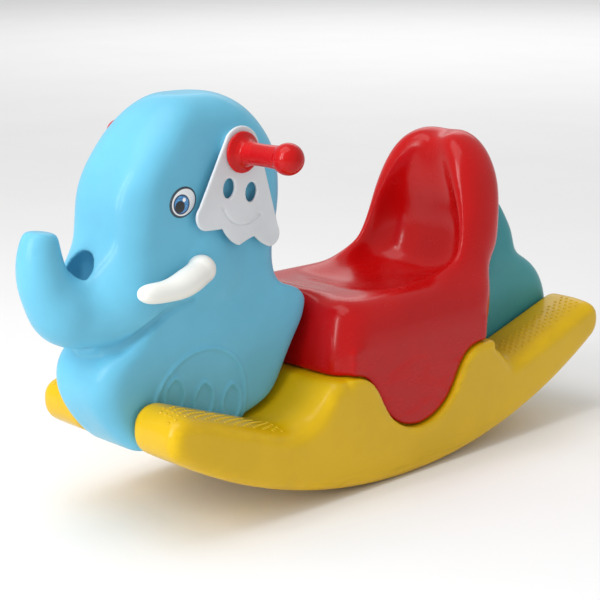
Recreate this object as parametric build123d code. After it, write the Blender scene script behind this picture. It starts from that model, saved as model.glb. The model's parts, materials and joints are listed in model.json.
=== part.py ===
from build123d import *
import os
from math import acos, cos, radians, sin, sqrt

# Child's elephant floor rocker: a yellow two-runner rocker base, a blue head and chest, a teal rear
# body, a red bucket seat, and a cross bar with two red grips that carry two swinging white ears.
# Millimetres. +Z is up, the elephant faces -Y, and its left side is +X. The pieces are drawn about
# the line that the runners stand on, and are moved to the object's own datum at the end.

# ---------------------------------------------------------------- driving sizes
base_wall = 3.0               # moulded plastic walls
front_wall = 2.0              # thin, so that the heavy head doesn't tip the rocker forwards
rear_wall = 5.0
seat_wall = 4.0
fit_gap = 1.0                 # gap between two mouldings that fit together
shut_line = 3.0               # open line between head, base and seat

rock_radius = 733.0           # underside of the runners
runner_outer = 128.0          # centre plane to the outer side of a runner
runner_width = 76.0
runner_edge = 14.0            # rounding of the runner's outer long edges
toe_reach = 392.0             # runner's front end, from the lowest line
tail_reach = 402.0            # runner's rear end
runner_end_radius = 26.0      # rounding of the runner's ends and of the hump, in the side view
ledge_foot_y = -222.0         # where the front footrest meets the seat hump
ledge_foot_z = 112.0
heel_foot_y = 205.0           # lowest point of the rear footrest
heel_foot_z = 117.0
ledge_slope = 0.36            # rise of the front footrest towards the toe
heel_slope = 0.30             # rise of the rear footrest towards the tail

deck_top = 100.0              # centre deck that carries both body mouldings
deck_thickness = 18.0
deck_front = -326.0
deck_rear = 346.0
platform_top = 150.0          # hump that carries the seat
platform_rear = 152.0
rear_step = 14.0              # run of the short slopes at the platform's ends
cove_radius = 73.0            # rounded lower rear corner of the front body
cove_y = -207.0
cove_z = 185.0

body_half_width = 62.0        # head at its sides
shoulder_half_width = 58.0
head_top = 503.0
head_front = -401.0
chest_front = -432.0
rear_half_width = 58.0

seat_half_width = 122.0
seat_front = -126.0
seat_level = 240.0            # top edge of the seat's flanks
backrest_top = 424.0
lobe_radius = 78.0            # round side lobe of the seat
lobe_centre_y = 24.0
lobe_bottom = 63.0
skirt_thickness = 8.0
skirt_front_inset = 14.0      # apron between the lobe and the block's front edge
skirt_rear_inset = 8.0        # the same at the rear of the platform
skirt_drop = 14.0             # how far the apron hangs below the platform
cut_over = 1.0                # how far a cutting tool runs past what it cuts
joint_overlap = 0.5           # how far the deck runs into the runners
tongue_half_width = 44.0
tongue_front = -164.0
tongue_floor = 247.0
tongue_top = 266.0
tongue_run = 92.0             # how far the tongue's root runs back into the seat
tongue_corner = 7.0

pivot_y = -240.0              # cross bar through the head
pivot_z = 438.0
bar_radius = 6.0
bar_bore_radius = 4.5
boss_radius = 22.0
boss_face = 64.0              # centre plane to the flat face of the head's handle boss
boss_depth = 14.0             # solid material behind that face
collar_radius = 17.0
collar_length = 5.0
spigot_radius = 12.0
ear_thickness = 4.2
ear_end_gap = 0.3             # each side of the ear plate
running_gap = 0.05            # radial, ear on its bush
key_height = 3.2
key_angle = 16.0              # degrees
ear_swing = 35.0              # degrees each way
key_spare = 1.6               # degrees of room beyond the swing
key_gap = 0.4                 # radial, between the key's tip and its notch
ear_hole_size = (17.0, 23.0)  # oval holes, wide and high
ear_hole_places = ((-19.0, -40.0), (15.0, -48.0))
ear_hole_tilt = 10.0          # degrees
smile_width = 2.6
smile_depth = 1.2
slide_gap = 0.05              # radial, bar in its tunnel and inserts

flange_radius = 24.5
flange_thickness = 5.0
grip_length = 77.0            # flange face to the middle of the end ball
grip_radius = 14.0
waist_radius = 13.0
ball_radius = 18.5
insert_radius = 9.5
insert_length = 22.0
insert_depth = 4.0            # flange face to the insert
bar_end_gap = 2.0             # bar's end to the insert's blind end
flange_chamfer = 3.0
neck_length = 7.0             # flange to the shaft's full waist

tusk_root = (58.0, -300.0, 309.0)
tusk_root_radius = 14.0
tusk_tip_radius = 6.5
tusk_spigot_radius = 7.0
tusk_spigot_length = 12.0
socket_depth = 13.0
tusk_reach = 94.0             # root to tip, forwards
tusk_drop = 13.0              # lowest point of its bend below the root
tusk_spread = 22.0            # how far the bend stands out sideways

cheek_centre = (37.0, -277.0, 317.0)
cheek_radius = 50.0
cheek_flatness = 0.62         # share of the radius, sideways
nook_height = 306.0           # hollow between the trunk and the head
nook_radius = 20.0
nook_narrow = 0.8
nook_tall = 1.1

eye_y = -322.0
eye_z = 388.0
eye_long = 31.0
eye_short = 22.0
eye_tilt = 24.0               # degrees, top leaning to the rear
eye_thickness = 1.4
eye_recess = 1.0
eye_gap = 0.1                 # around the oval in its recess

screw_radius = 2.5
screw_grip = 22.0             # length of thread in the moulded boss
screw_hole_gap = 0.3          # around the shank in the base
clamp_height = 6.0            # base material between the washer and the column's open end
column_depth = 30.0           # how far a column reaches below the platform at most
boss_cap = 8.0                # solid end of a moulded boss above the screw
screw_head_radius = 5.0
screw_head_height = 3.2
washer_radius = 7.0
washer_thickness = 1.2
moulded_boss_radius = 9.0
column_radius = 11.5
counterbore_radius = 8.0
seat_screw_x = 62.0
seat_screw_y = (-70.0, 95.0)
front_screw_x = 26.0
front_screw_y = (-300.0, -236.0)
rear_screw_x = 26.0
rear_screw_y = (232.0, 312.0)

runner_inner = runner_outer - runner_width
deck_bottom = deck_top - deck_thickness
slot_half_width = runner_inner - fit_gap


def underside(y):
    """Height of the runner's underside at a place along it."""
    return rock_radius - sqrt(rock_radius**2 - y**2)


# ---------------------------------------------------------------- shape helpers
def plate(face, low_x, high_x):
    """Extrudes an outline drawn in the side view from one side plane to another."""
    return extrude(Plane.YZ.offset(low_x) * face, amount=high_x - low_x)


def both_sides(shape):
    return shape + mirror(shape, about=Plane.YZ)


def stack(levels, inset=0.0):
    """Loft through level outlines, each (height, front, rear, half width, corner radius)."""
    sections = []
    for height, front, rear, half_width, corner in levels:
        z = height
        if height == levels[0][0]:
            z = height + inset
        if height == levels[-1][0]:
            z = height - inset
        length = rear - front - 2 * inset
        width = 2 * (half_width - inset)
        radius = min(corner - inset, 0.49 * min(length, width))
        outline = RectangleRounded(width, length, radius)
        sections.append(Pos(0, (front + rear) / 2, z) * outline)
    return loft(sections)


def upright(x, y, low, high, radius):
    return Pos(x, y, (low + high) / 2) * Cylinder(radius, high - low)


def crosswise(low_x, high_x, radius, y=pivot_y, z=pivot_z):
    return Pos((low_x + high_x) / 2, y, z) * Rot(0, 90, 0) * Cylinder(radius, high_x - low_x)


# ---------------------------------------------------------------- rocker base
def corners_rounded(face, radius):
    """Rounds every outward corner of an outline, by shrinking it and growing it again."""
    return offset(offset(face, -radius), radius)


def runner_outline():
    """Side view of a runner with the seat hump, from the toe over the top to the tail."""
    toe_low = (-toe_reach, underside(toe_reach))
    toe_high = (-toe_reach, ledge_foot_z + ledge_slope * (toe_reach + ledge_foot_y))
    tail_low = (tail_reach, underside(tail_reach))
    tail_high = (tail_reach, heel_foot_z + heel_slope * (tail_reach - heel_foot_y))
    heel_foot = (heel_foot_y, heel_foot_z)
    platform_end = (platform_rear, platform_top)
    hump_radius = cove_radius + shut_line
    rise = acos((cove_z - platform_top) / hump_radius)
    hump_foot = (cove_y, cove_z - hump_radius)
    hump_mid = (cove_y + hump_radius * sin(rise / 2), cove_z - hump_radius * cos(rise / 2))
    hump_end = (cove_y + hump_radius * sin(rise), platform_top)
    ledge_foot = (ledge_foot_y, ledge_foot_z)
    edges = [
        ThreePointArc(toe_low, (0, 0), tail_low),
        Line(tail_low, tail_high),
        Line(tail_high, heel_foot),
        Line(heel_foot, platform_end),
        Line(platform_end, hump_end),
        ThreePointArc(hump_end, hump_mid, hump_foot),
        Line(hump_foot, ledge_foot),
        Line(ledge_foot, toe_high),
        Line(toe_high, toe_low),
    ]
    return corners_rounded(make_face(edges), runner_end_radius)


def deck_outline(inset=0.0):
    """Side view of the centre deck and seat platform between the runners."""
    hump_radius = cove_radius + shut_line
    rise = acos((cove_z - platform_top) / hump_radius)
    hump_foot = (cove_y, cove_z - hump_radius)
    hump_mid = (cove_y + hump_radius * sin(rise / 2), cove_z - hump_radius * cos(rise / 2))
    hump_end = (cove_y + hump_radius * sin(rise), platform_top)
    rear_foot_y = platform_rear + rear_step
    corners = [
        hump_foot,
        (cove_y - rear_step, deck_top),
        (deck_front, deck_top),
        (deck_front, deck_bottom),
        (deck_rear, deck_bottom),
        (deck_rear, deck_top),
        (rear_foot_y, deck_top),
        (platform_rear, platform_top),
        hump_end,
    ]
    edges = [Line(start, end) for start, end in zip(corners, corners[1:])]
    edges.append(ThreePointArc(hump_end, hump_mid, hump_foot))
    outline = make_face(edges)
    if inset:
        outline = offset(outline, -inset)
    return outline


def skirt_outline(grow=0.0):
    """Side view of the seat's skirt below the platform, with its round lobe."""
    lobe = Pos(lobe_centre_y, lobe_bottom + lobe_radius) * Circle(lobe_radius + grow)
    front = seat_front + skirt_front_inset - grow
    rear = platform_rear - skirt_rear_inset + grow
    middle = (front + rear) / 2
    apron = Pos(middle, platform_top) * Rectangle(rear - front, 2 * (skirt_drop + grow))
    window = Pos(middle, platform_top / 2) * Rectangle(rear - front, platform_top)
    return (lobe + apron) & window


def screw_places():
    """Every screw as (x, y, underside of the clamped wall, top of the base there)."""
    places = []
    for y in seat_screw_y:
        places += [(seat_screw_x, y, platform_top), (-seat_screw_x, y, platform_top)]
    for y in front_screw_y:
        places += [(front_screw_x, y, deck_top), (-front_screw_x, y, deck_top)]
    for y in rear_screw_y:
        places += [(rear_screw_x, y, deck_top), (-rear_screw_x, y, deck_top)]
    return places


def head_seat(top):
    """Height of the face that a screw's washer bears on, below a boss face."""
    return max(deck_bottom, top - column_depth) + clamp_height


def build_base():
    """Hollow runners, deck and hump, with pockets for the skirt and columns for the screws."""
    side = runner_outline()
    runner = plate(side, runner_inner, runner_outer)
    outer_edges = runner.faces().sort_by(Axis.X)[-1].edges()
    runner = fillet(outer_edges, runner_edge)
    hollow = plate(offset(side, -base_wall), runner_inner + base_wall, runner_outer - base_wall)
    hollow_edges = hollow.faces().sort_by(Axis.X)[-1].edges()
    hollow = fillet(hollow_edges, runner_edge - base_wall)
    pocket_floor = seat_half_width - skirt_thickness - fit_gap
    beyond = runner_outer + cut_over
    runner -= plate(skirt_outline(fit_gap), pocket_floor, beyond)
    hollow -= plate(skirt_outline(fit_gap + base_wall), pocket_floor - base_wall, beyond)

    deck_half = runner_inner + joint_overlap
    deck = plate(deck_outline(), -deck_half, deck_half)
    hollow_half = deck_half + base_wall
    deck_hollow = plate(deck_outline(base_wall), -hollow_half, hollow_half)
    outside = both_sides(runner) + deck
    inside = both_sides(hollow) + deck_hollow
    for x, y, top in screw_places():
        inside -= upright(x, y, 0, top + cut_over, column_radius)
    base = outside - inside
    for x, y, top in screw_places():
        base -= upright(x, y, -cut_over, top + cut_over, screw_radius + screw_hole_gap)
        base -= upright(x, y, -cut_over, head_seat(top), counterbore_radius)
    return base


# ---------------------------------------------------------------- front body with head and trunk
def front_levels():
    """Level outlines from the chest's flat underside to the crown of the head."""
    low = slot_half_width - 1
    mid = shoulder_half_width
    wide = body_half_width
    return [
        (deck_top, chest_front + 54, -226, low, 16),
        (deck_top + 10, chest_front + 42, -212, low, 20),
        (deck_top + 26, chest_front + 26, -166, low, 24),
        (deck_top + 50, chest_front + 9, -145, low, 26),
        (deck_top + 76, chest_front, -133, low + 3, 28),
        (deck_top + 98, chest_front + 3, -123, mid - 2, 28),
        (deck_top + 116, chest_front + 16, -114, mid, 28),
        (deck_top + 130, chest_front + 37, -109, mid, 28),
        (deck_top + 145, chest_front + 48, -108, mid, 28),
        (deck_top + 159, head_front + 13, -118, mid, 30),
        (deck_top + 172, head_front + 6, -150, mid + 1, 32),
        (deck_top + 190, head_front + 2, -160, mid + 2, 34),
        (head_top - 180, head_front, -160, wide - 1, 36),
        (head_top - 140, head_front + 3, -152, wide, 38),
        (head_top - 100, head_front + 9, -150, wide, 40),
        (head_top - 65, head_front + 30, -160, wide, 40),
        (head_top - 40, head_front + 48, -174, wide - 4, 42),
        (head_top - 20, head_front + 68, -192, wide - 12, 40),
        (head_top - 7, head_front + 86, -212, wide - 24, 34),
        (head_top, head_front + 108, -236, wide - 38, 22),
    ]


trunk_line = [                # (y, z, radius, tilt of the ring in degrees) from the jaw to the tip
    (-372, 268, 43, -4),
    (-405, 263, 43, -2),
    (-436, 271, 37, -24),
    (-460, 292, 32, -52),
    (-471, 322, 28, -80),
    (-472, 346, 24, -92),
    (-469, 366, 19, -98),
]


def build_trunk(inset=0.0):
    """Curled trunk: a loft through rings that turn from level to upright."""
    rings = []
    for y, z, radius, tilt in trunk_line:
        facing = (0, -cos(radians(tilt)), -sin(radians(tilt)))
        ring_plane = Plane(origin=(0, y, z), x_dir=(1, 0, 0), z_dir=facing)
        rings.append(ring_plane * Circle(radius - inset))
    if inset:
        rings = rings[:-1]
    return loft(rings)


def cheek(inset=0.0):
    """Round cheek bulge on the head's left side."""
    ball = Sphere(cheek_radius - inset)
    return Pos(*cheek_centre) * scale(ball, by=(cheek_flatness, 1, 1))


def nook(grow=0.0):
    """Rounded hollow between the trunk and the head."""
    ball = Sphere(nook_radius + grow)
    return Pos(0, head_front - 4, nook_height) * scale(ball, by=(nook_narrow, nook_narrow, nook_tall))


def tongue_room(grow=0.0):
    """Notch in the shoulders that the seat's tongue lies in."""
    front = tongue_front - fit_gap - grow
    rear = tongue_front + 2 * tongue_half_width
    low = tongue_floor - grow
    high = tongue_top + tongue_half_width
    half = tongue_half_width + fit_gap + grow
    return Pos(0, (front + rear) / 2, (low + high) / 2) * Box(2 * half, rear - front, high - low)


def tusk_socket(grow=0.0):
    x, y, z = tusk_root
    low = x - socket_depth - (grow if grow > slide_gap else 0)
    return crosswise(low, x + cheek_radius, tusk_spigot_radius + grow, y, z)


def eye_outline(grow=0.0):
    """Oval eye in the side view, leaning to the rear."""
    oval = Ellipse(eye_short / 2 + grow, eye_long / 2 + grow)
    return Pos(eye_y, eye_z) * Rot(0, 0, -eye_tilt) * oval


def front_skin(inset=0.0):
    """Outside of the chest, head, trunk and cheeks, or the same drawn in by a wall."""
    return stack(front_levels(), inset) + build_trunk(inset) + both_sides(cheek(inset))


def moulded_bosses(screw_x, screw_y):
    """Solid bosses that the screws bite into, to be left out of a moulding's hollow."""
    bosses = []
    for y in screw_y:
        for x in (screw_x, -screw_x):
            bosses.append(upright(x, y, deck_top, deck_top + screw_grip + boss_cap, moulded_boss_radius))
    return bosses


def thread_holes(screw_x, screw_y):
    holes = []
    for y in screw_y:
        for x in (screw_x, -screw_x):
            high = deck_top + screw_grip + cut_over
            holes.append(upright(x, y, deck_top - cut_over, high, screw_radius + slide_gap))
    return holes


def build_front_body():
    """Hollow chest, head and trunk, with the bar's tunnel, tusk sockets and eye recesses."""
    eye_floor = body_half_width - eye_recess
    beyond = body_half_width + eye_long
    hollow = front_skin(front_wall)
    hollow -= nook(front_wall)
    hollow -= tongue_room(front_wall)
    hollow -= crosswise(-boss_face, boss_face, bar_radius + front_wall)
    hollow -= both_sides(crosswise(boss_face - boss_depth, boss_face, boss_radius))
    hollow -= both_sides(tusk_socket(front_wall))
    hollow -= both_sides(plate(eye_outline(front_wall), eye_floor - front_wall, beyond))
    for boss in moulded_bosses(front_screw_x, front_screw_y):
        hollow -= boss
    body = front_skin() + crosswise(-boss_face, boss_face, boss_radius) - nook()
    body -= hollow
    body -= tongue_room()
    body -= crosswise(-boss_face - cut_over, boss_face + cut_over, bar_radius + slide_gap)
    body -= both_sides(tusk_socket(slide_gap))
    body -= both_sides(plate(eye_outline(eye_gap), eye_floor, beyond))
    for hole in thread_holes(front_screw_x, front_screw_y):
        body -= hole
    return body


# ---------------------------------------------------------------- rear body
def rear_levels():
    low = slot_half_width - 1
    wide = rear_half_width
    front = platform_rear + rear_step + shut_line
    return [
        (deck_top, front, 366, low, 18),
        (deck_top + 25, front + 2, 384, low, 24),
        (deck_top + 50, front + 8, 390, low, 28),
        (deck_top + 72, 194, 384, low + 2, 30),
        (deck_top + 92, 200, 374, low + 3, 32),
        (deck_top + 112, 206, 356, low + 4, 34),
        (deck_top + 128, 210, 330, wide - 2, 34),
        (deck_top + 140, 214, 314, wide - 2, 34),
        (deck_top + 158, 220, 308, wide - 4, 32),
        (deck_top + 180, 228, 300, wide - 8, 28),
        (deck_top + 200, 235, 289, wide - 14, 22),
        (deck_top + 218, 240, 276, wide - 24, 15),
        (deck_top + 230, 243, 262, wide - 38, 8),
    ]


def build_rear_body():
    """Hollow rump with a low shelf, behind the seat."""
    hollow = stack(rear_levels(), inset=rear_wall)
    for boss in moulded_bosses(rear_screw_x, rear_screw_y):
        hollow -= boss
    body = stack(rear_levels()) - hollow
    for hole in thread_holes(rear_screw_x, rear_screw_y):
        body -= hole
    return body


# ---------------------------------------------------------------- seat
def seat_levels():
    """Level outlines of the seat block, from its flat underside to the top of its flanks."""
    wide = seat_half_width
    return [
        (platform_top, seat_front, 172, wide, 30),
        (platform_top + 30, seat_front + 6, 178, wide, 32),
        (platform_top + 60, seat_front + 12, 186, wide - 3, 34),
        (seat_level - 14, seat_front + 18, 191, wide - 8, 34),
        (seat_level, seat_front + 30, 194, wide - 15, 34),
    ]


def backrest_levels():
    """Level outlines of the backrest with its wings, from inside the seat block to the top."""
    wide = seat_half_width
    return [
        (seat_level - 50, 22, 182, wide - 16, 34),
        (seat_level - 25, 38, 189, wide - 17, 34),
        (seat_level, 62, 196, wide - 18, 34),
        (seat_level + 24, 92, 206, wide - 20, 36),
        (seat_level + 50, 113, 217, wide - 23, 38),
        (seat_level + 82, 125, 229, wide - 28, 40),
        (seat_level + 110, 134, 236, wide - 35, 40),
        (seat_level + 136, 144, 235, wide - 45, 38),
        (seat_level + 156, 156, 229, wide - 57, 32),
        (seat_level + 173, 171, 219, wide - 76, 20),
        (backrest_top, 183, 208, wide - 100, 12),
    ]


def seat_outside(inset=0.0):
    """Seat block and backrest before the basin is scooped."""
    return stack(seat_levels(), inset) + stack(backrest_levels(), inset)


def basin(grow=0.0):
    """Hollow that the rider sits in, open to the front and the top."""
    open_front = seat_front + 56
    wide = seat_half_width
    levels = [
        (seat_level - 18, 22, 140, wide - 86, 30),
        (seat_level - 10, -6, 154, wide - 62, 40),
        (seat_level + 4, -44, 164, wide - 42, 44),
        (seat_level + 24, open_front, 170, wide - 40, 46),
        (seat_level + 60, open_front, 180, wide - 48, 46),
        (seat_level + 110, open_front, 190, wide - 66, 44),
        (seat_level + 155, open_front, 197, wide - 88, 28),
        (backrest_top + 16, open_front, 204, wide - 106, 14),
    ]
    return stack(levels, inset=-grow)


def tongue():
    """Solid tongue and rising front of the seat, up to the elephant's neck."""
    rear = seat_front + tongue_run
    step = seat_front + 22
    root_top = seat_level - 12
    root_bottom = seat_level - 30
    outline = Polyline(
        (tongue_front, tongue_floor),
        (tongue_front, tongue_top),
        (seat_front, tongue_top - 3),
        (rear, root_top),
        (rear, root_bottom),
        (step, root_bottom),
        (step, tongue_floor),
        (tongue_front, tongue_floor),
    )
    blade = plate(make_face(outline), -tongue_half_width, tongue_half_width)
    return fillet(blade.edges().filter_by(Axis.Z), tongue_corner)


def build_seat():
    """Hollow seat block with its backrest, basin, tongue and side skirts."""
    skin = seat_outside() - basin()
    hollow = seat_outside(seat_wall) - basin(seat_wall)
    boss_top = platform_top + screw_grip + boss_cap
    hole_top = platform_top + screw_grip + cut_over
    places = [(x, y) for y in seat_screw_y for x in (seat_screw_x, -seat_screw_x)]
    for x, y in places:
        hollow -= upright(x, y, platform_top, boss_top, moulded_boss_radius)
    skirt = plate(skirt_outline(), seat_half_width - skirt_thickness, seat_half_width)
    seat = skin - hollow + tongue() + both_sides(skirt)
    for x, y in places:
        seat -= upright(x, y, platform_top - cut_over, hole_top, screw_radius + slide_gap)
    return seat


# ---------------------------------------------------------------- cross bar, grips, bushes, ears
collar_end = boss_face + collar_length
ear_inner = collar_end + ear_end_gap
ear_outer = ear_inner + ear_thickness
flange_face = ear_outer + ear_end_gap
ball_x = flange_face + grip_length
insert_start = flange_face + insert_depth
insert_end = insert_start + insert_length
bar_end = insert_end - bar_end_gap


def build_bar():
    """Steel tube through the head, from one grip insert to the other."""
    bore = crosswise(-bar_end - cut_over, bar_end + cut_over, bar_bore_radius)
    return crosswise(-bar_end, bar_end, bar_radius) - bore


def build_insert():
    """Threaded metal insert moulded into a grip, blind at its outer end."""
    insert = crosswise(insert_start, insert_end, insert_radius)
    return insert - crosswise(insert_start - cut_over, bar_end, bar_radius + slide_gap)


def build_grip():
    """Hand grip: a flange, a waisted shaft and an end ball, turned about the cross bar."""
    ball_start = ball_x - sqrt(ball_radius**2 - grip_radius**2)
    flange_back = flange_face + flange_thickness
    rim_end = flange_back - flange_chamfer / 2
    neck = flange_back + neck_length
    middle = (neck + ball_start) / 2
    outline = Polyline(
        (ball_x + ball_radius, 0),
        (flange_face, 0),
        (flange_face, flange_radius),
        (rim_end, flange_radius),
        (flange_back, flange_radius - flange_chamfer),
        (flange_back + flange_chamfer, grip_radius + flange_chamfer),
        (neck, grip_radius),
    )
    shaft = ThreePointArc((neck, grip_radius), (middle, waist_radius), (ball_start, grip_radius))
    ball = ThreePointArc((ball_start, grip_radius), (ball_x, ball_radius), (ball_x + ball_radius, 0))
    grip = Pos(0, pivot_y, pivot_z) * revolve(make_face([outline, shaft, ball]), Axis.X)
    grip -= crosswise(insert_start, insert_end, insert_radius)
    return grip - crosswise(flange_face - cut_over, insert_start + cut_over, bar_radius + 2 * slide_gap)


def sector(inner, outer, half_angle):
    """Key-shaped patch in the side view that hangs below the pivot."""
    reach = outer / cos(radians(half_angle))
    side = reach * sin(radians(half_angle))
    wedge = make_face(Polyline((0, 0), (side, -outer), (-side, -outer), (0, 0)))
    return wedge & (Circle(outer) - Circle(inner))


def build_bush():
    """Bush that spaces the ear from the head, with a key that limits the ear's swing."""
    collar = crosswise(boss_face, collar_end, collar_radius)
    spigot = crosswise(collar_end, flange_face, spigot_radius)
    key_outline = sector(spigot_radius - cut_over, spigot_radius + key_height, key_angle / 2)
    key = Pos(pivot_y, pivot_z) * key_outline
    bush = collar + spigot + plate(key, collar_end, flange_face)
    return bush - crosswise(boss_face - cut_over, flange_face + cut_over, bar_radius + slide_gap)


def ear_outline():
    """Ear plate about its pivot: a round top, two long sides and three scallops below."""
    top_left = (-21, 20)
    top_right = (28, 8)
    front_high = (-63, -58)
    front_low = (-56, -85)
    first_notch = (-29, -86)
    middle_lobe = (-4, -109)
    second_notch = (20, -101)
    rear_lobe = (44, -117)
    rear_high = (58, -94)
    edges = [
        ThreePointArc(top_left, (3, 30), top_right),
        Line(top_right, rear_high),
        ThreePointArc(rear_high, (58, -110), rear_lobe),
        ThreePointArc(rear_lobe, (32, -111), second_notch),
        ThreePointArc(second_notch, (9, -104), middle_lobe),
        ThreePointArc(middle_lobe, (-17, -101), first_notch),
        ThreePointArc(first_notch, (-41, -86), front_low),
        ThreePointArc(front_low, (-67, -75), front_high),
        Line(front_high, top_left),
    ]
    return make_face(edges)


def build_ear():
    """White ear plate with a keyed pivot hole, two oval eye holes and an engraved smile."""
    half_notch = ear_swing + key_angle / 2 + key_spare
    face = ear_outline() - Circle(spigot_radius + running_gap)
    face -= sector(spigot_radius - cut_over, spigot_radius + key_height + key_gap, half_notch)
    wide, high = ear_hole_size
    for y, z in ear_hole_places:
        face -= Pos(y, z) * Rot(0, 0, -ear_hole_tilt) * Ellipse(wide / 2, high / 2)
    ear = plate(Pos(pivot_y, pivot_z) * face, ear_inner, ear_outer)
    rear_end = (28, -76)
    front_end = (-28, -63)
    smile = trace(ThreePointArc(front_end, (2, -85), rear_end), smile_width)
    for y, z in (front_end, rear_end):
        smile += Pos(y, z) * Circle(smile_width)
    return ear - plate(Pos(pivot_y, pivot_z) * smile, ear_outer - smile_depth, ear_outer + cut_over)


# ---------------------------------------------------------------- tusks and eyes
def build_tusk():
    """Blunt curved tusk, lofted through rings along its bend, with a spigot into the head."""
    x, y, z = tusk_root
    root = (x + 12, y, z)
    bend_middle = (x + tusk_spread, y - 0.53 * tusk_reach, z - tusk_drop)
    tip = (x + tusk_spread - 2, y - tusk_reach, z - tusk_drop + 1)
    bend = ThreePointArc(root, bend_middle, tip)
    rings = []
    for share in (0.0, 0.25, 0.5, 0.75, 0.93, 1.0):
        radius = tusk_root_radius + (tusk_tip_radius - tusk_root_radius) * share**1.4
        if share == 1.0:
            radius = 0.55 * tusk_tip_radius
        ring = Plane(origin=bend @ share, z_dir=bend % share)
        rings.append(ring * Circle(radius))
    horn = loft(rings) + Pos(*root) * Sphere(tusk_root_radius)
    spigot = crosswise(x - tusk_spigot_length, root[0], tusk_spigot_radius, y, z)
    return horn - front_skin() + spigot


def build_eye():
    low = body_half_width - eye_recess
    return plate(eye_outline(), low, low + eye_thickness)


# ---------------------------------------------------------------- screws and washers
def screw(x, y, top):
    """Pan-head screw from below, its head one washer clear of the clamped face."""
    seat_z = head_seat(top) - washer_thickness
    shank = upright(x, y, seat_z, top + screw_grip, screw_radius)
    head = upright(x, y, seat_z - screw_head_height, seat_z, screw_head_radius)
    return shank + fillet(head.edges().group_by(Axis.Z)[0], washer_thickness)


def washer(x, y, top):
    high = head_seat(top)
    low = high - washer_thickness
    hole = upright(x, y, low - cut_over, high + cut_over, screw_radius + slide_gap)
    return upright(x, y, low, high, washer_radius) - hole


def group(make, half_x, places, top):
    """Separate copies of one fastener at every place, on both sides."""
    return Compound([make(x, y, top) for y in places for x in (half_x, -half_x)])


# ---------------------------------------------------------------- build, set on the datum, write
def mirrored(shape):
    return mirror(shape, about=Plane.YZ)


left_pieces = {
    "grip": build_grip(),
    "grip_insert": build_insert(),
    "ear_bush": build_bush(),
    "ear": build_ear(),
    "tusk": build_tusk(),
    "eye": build_eye(),
}

nodes = {
    "rocker_base": build_base(),
    "front_body": build_front_body(),
    "rear_body": build_rear_body(),
    "seat": build_seat(),
    "handle_bar": build_bar(),
    "seat_screws": group(screw, seat_screw_x, seat_screw_y, platform_top),
    "seat_washers": group(washer, seat_screw_x, seat_screw_y, platform_top),
    "front_body_screws": group(screw, front_screw_x, front_screw_y, deck_top),
    "front_body_washers": group(washer, front_screw_x, front_screw_y, deck_top),
    "rear_body_screws": group(screw, rear_screw_x, rear_screw_y, deck_top),
    "rear_body_washers": group(washer, rear_screw_x, rear_screw_y, deck_top),
}
for name, piece in left_pieces.items():
    nodes["left_" + name] = piece
    nodes["right_" + name] = mirrored(piece)

front_edge = nodes["front_body"].bounding_box().min.Y
rear_edge = nodes["rocker_base"].bounding_box().max.Y
datum = Pos(0, -(front_edge + rear_edge) / 2, 0)

os.makedirs("parts", exist_ok=True)
for name, piece in nodes.items():
    export_step(datum * piece, f"parts/{name}.step")
    print(name, len(piece.solids()), round(piece.volume / 1000, 1))
print("moved along Y by", round(-(front_edge + rear_edge) / 2, 3))
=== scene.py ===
# %% [markdown]
# # A child's elephant floor rocker
# The rocker is a set of blow-moulded plastic shells: a yellow rocker base, a blue head and chest, a
# teal rump and a red bucket seat. A steel tube through the head carries two red grips and two white
# ears that swing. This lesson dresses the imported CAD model. It keeps every size and joint, and gives
# each shell the soft edges, reliefs, tread and finish that a moulding has.

# %% Load the frame
import json
import math

import bmesh
import bpy
import numpy as np
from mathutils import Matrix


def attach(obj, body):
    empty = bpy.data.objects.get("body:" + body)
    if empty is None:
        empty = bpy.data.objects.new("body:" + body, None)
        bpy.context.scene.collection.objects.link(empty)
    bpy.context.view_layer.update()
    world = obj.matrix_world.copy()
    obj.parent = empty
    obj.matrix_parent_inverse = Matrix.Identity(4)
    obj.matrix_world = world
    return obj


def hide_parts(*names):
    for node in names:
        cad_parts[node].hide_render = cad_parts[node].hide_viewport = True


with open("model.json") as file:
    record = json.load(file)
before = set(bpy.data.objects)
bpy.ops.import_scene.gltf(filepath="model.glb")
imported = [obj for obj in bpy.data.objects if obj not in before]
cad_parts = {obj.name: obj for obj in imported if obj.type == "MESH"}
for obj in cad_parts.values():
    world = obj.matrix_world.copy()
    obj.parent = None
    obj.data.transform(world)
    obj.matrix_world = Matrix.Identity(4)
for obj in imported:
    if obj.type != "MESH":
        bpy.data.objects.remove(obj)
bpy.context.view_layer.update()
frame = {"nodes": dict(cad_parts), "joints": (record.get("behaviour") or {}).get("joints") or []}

import openvdb as vdb
from mathutils import Vector
from mathutils.bvhtree import BVHTree

nodes = frame["nodes"]
chassis = "rocker"

# %% [markdown]
# Sizes below are in millimetres, with Y counted from the line that the rocker stands on. That line
# is found in the frame: it is where the base's mesh is lowest. The ears' pivot comes from a joint.

# %% Find the resting line and the pivot
MM = 0.001


def node_points(name):
    """Corner points of a CAD node's mesh, in metres."""
    mesh = nodes[name].data
    flat = np.empty(len(mesh.vertices) * 3, np.float32)
    mesh.vertices.foreach_get("co", flat)
    return flat.reshape(-1, 3)


base_points = node_points("rocker_base")
lowest = base_points[base_points[:, 2] < base_points[:, 2].min() + 0.02 * MM]
rest_y = float(lowest[:, 1].mean())
left_hinge = [joint for joint in frame["joints"] if joint["name"] == "left_ear_swing"][0]
pivot_y = left_hinge["pos_m"][1] / MM - rest_y / MM
pivot_z = left_hinge["pos_m"][2] / MM
print("resting line at Y =", round(rest_y, 4), "m; pivot at", round(pivot_y), round(pivot_z), "mm")

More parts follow.
